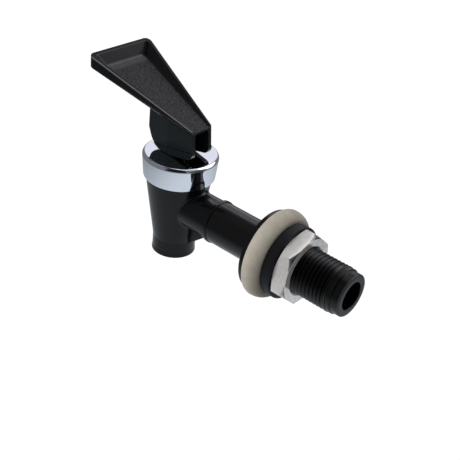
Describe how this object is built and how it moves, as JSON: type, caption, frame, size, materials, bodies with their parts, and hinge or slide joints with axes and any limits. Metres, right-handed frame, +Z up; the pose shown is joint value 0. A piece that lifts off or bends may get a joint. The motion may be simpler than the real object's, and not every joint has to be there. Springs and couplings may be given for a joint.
{
  "type": "beverage dispensing faucet",
  "caption": "Lever-operated dispensing tap with a downward spout, a chromed bonnet and a threaded shank with washers and a hex nut for mounting through a tank wall.",
  "frame": {"origin": "on the shank's axis, at the flange face that seals against the tank's wall", "axes": "+Y along the shank into the tank, +Z up, +X completes the right-handed set; the spout and the lever lie towards -Y"},
  "size_m": [0.0308, 0.1058, 0.0655],
  "materials": {
    "body_plastic": "moulded semi-gloss black",
    "bonnet_chrome": "polished plating",
    "silicone": "soft translucent silicone",
    "stem_plastic": "turned black plastic",
    "pin_steel": "drawn stainless wire",
    "handle_plastic": "moulded black with a leather-grain tray floor",
    "shank_plastic": "moulded semi-gloss black",
    "washer_beige": "matte beige rubber",
    "washer_black": "matte black rubber",
    "nut_metal": "nickel plated"
  },
  "bodies": {
    "root": {"body": "body_plastic", "bonnet": "bonnet_chrome", "shank": "shank_plastic", "shank_gasket": "silicone", "outer_washer": "washer_beige"},
    "valve": {"seat_cup": "silicone", "return_spring": "pin_steel"},
    "stem": {"stem": "stem_plastic", "pivot_pin": "pin_steel"},
    "lever": {"handle": "handle_plastic"},
    "inner_washer": {"inner_washer": "washer_black"},
    "nut": {"mounting_nut": "nut_metal"}
  },
  "joints": [
    {"name": "stem_lift", "type": "slide", "parent": "root", "child": "valve", "axis": [0, 0, 1], "range_m": [0, 0.003], "deforming": ["seat_cup", "return_spring"]},
    {"name": "stem_swivel", "type": "hinge", "parent": "valve", "child": "stem", "pos_m": [0, -0.0418, 0.0185], "axis": [0, 0, 1], "continuous": true},
    {"name": "handle_tilt", "type": "hinge", "parent": "stem", "child": "lever", "pos_m": [0, -0.0418, 0.0225], "axis": [1, 0, 0], "range_deg": [0, 36], "stiffness_Nm_per_rad": 0.012, "springref_deg": -28.65},
    {"name": "washer_slide", "type": "slide", "parent": "root", "child": "inner_washer", "axis": [0, 1, 0], "range_m": [0, 0.0082]},
    {"name": "nut_turn", "type": "hinge", "parent": "inner_washer", "child": "nut", "pos_m": [0, 0.0095, 0], "axis": [0, 1, 0], "range_deg": [0, 2040]}
  ],
  "couplings": [
    {"joint": "stem_lift", "follows": "handle_tilt", "m_per_rad": 0.0046},
    {"joint": "washer_slide", "follows": "nut_turn", "m_per_rad": 0.00022457}
  ]
}
